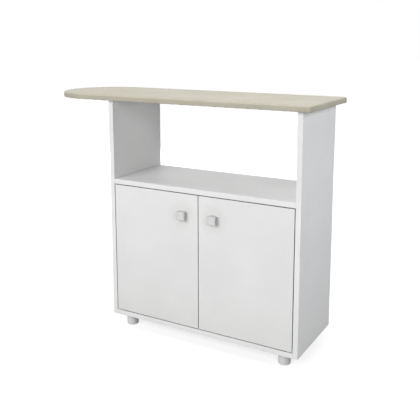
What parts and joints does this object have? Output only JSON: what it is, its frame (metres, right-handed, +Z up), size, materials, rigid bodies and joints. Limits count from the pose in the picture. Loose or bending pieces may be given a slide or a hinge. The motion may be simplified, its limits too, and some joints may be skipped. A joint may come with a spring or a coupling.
{
  "type": "ironing board cabinet",
  "caption": "White two-door cabinet on round feet with an open niche, under a padded beige ironing top with a round nose; the inset doors swing on hidden pivot hinges.",
  "frame": {"origin": "on the floor, under the middle of the whole piece's bounding box", "axes": "+X along the ironing top towards its square end, so the round nose points to -X; +Y to the back, doors face -Y; +Z up"},
  "size_m": [1.075, 0.361, 0.878],
  "materials": {
    "white_laminate": "satin melamine",
    "edge_band": "satin",
    "back_board": "painted hardboard",
    "bright_steel": "zinc plated",
    "beech": "raw",
    "cam_zinc": "die cast",
    "foot_plastic": "moulded",
    "core_board": "raw fibreboard",
    "foam": "open cell",
    "beige_cover": "plain weave cotton",
    "hinge_steel": "zinc plated",
    "white_nylon": "moulded",
    "magnet_dark": "raw",
    "knob_metal": "satin nickel look"
  },
  "bodies": {
    "cabinet": {"left_side_panel": "white_laminate", "right_side_panel": "white_laminate", "bottom_panel": "white_laminate", "fixed_shelf": "white_laminate", "inner_shelf": "white_laminate", "back_panel": "back_board", "back_nails": "bright_steel", "carcass_edge_bands": "edge_band", "shelf_pins": "bright_steel", "dowels": "beech", "cam_locks": "cam_zinc", "cam_bolts": "bright_steel", "cam_caps": "white_nylon", "foot_front_left": "foot_plastic", "foot_front_right": "foot_plastic", "foot_back_left": "foot_plastic", "foot_back_right": "foot_plastic", "foot_screws": "bright_steel", "top_core": "core_board", "top_pad": "foam", "top_cover": "beige_cover", "left_upper_frame_plate": "hinge_steel", "left_lower_frame_plate": "hinge_steel", "right_upper_frame_plate": "hinge_steel", "right_lower_frame_plate": "hinge_steel", "frame_plate_screws": "bright_steel", "hinge_washers": "white_nylon", "catch_housing": "white_nylon", "catch_magnets": "magnet_dark", "catch_screws": "bright_steel"},
    "left_door": {"left_door_panel": "white_laminate", "left_door_edge_band": "edge_band", "left_upper_door_plate": "hinge_steel", "left_lower_door_plate": "hinge_steel", "left_door_bushes": "white_nylon", "left_door_screws": "bright_steel", "left_knob": "knob_metal", "left_knob_screw": "bright_steel", "left_strike_plate": "hinge_steel"},
    "right_door": {"right_door_panel": "white_laminate", "right_door_edge_band": "edge_band", "right_upper_door_plate": "hinge_steel", "right_lower_door_plate": "hinge_steel", "right_door_bushes": "white_nylon", "right_door_screws": "bright_steel", "right_knob": "knob_metal", "right_knob_screw": "bright_steel", "right_strike_plate": "hinge_steel"}
  },
  "joints": [
    {"name": "left_door_hinge", "type": "hinge", "parent": "cabinet", "child": "left_door", "pos_m": [-0.2075, -0.1545, 0.305], "axis": [0, 0, -1], "range_deg": [0, 120]},
    {"name": "right_door_hinge", "type": "hinge", "parent": "cabinet", "child": "right_door", "pos_m": [0.4725, -0.1545, 0.305], "axis": [0, 0, 1], "range_deg": [0, 120]}
  ]
}
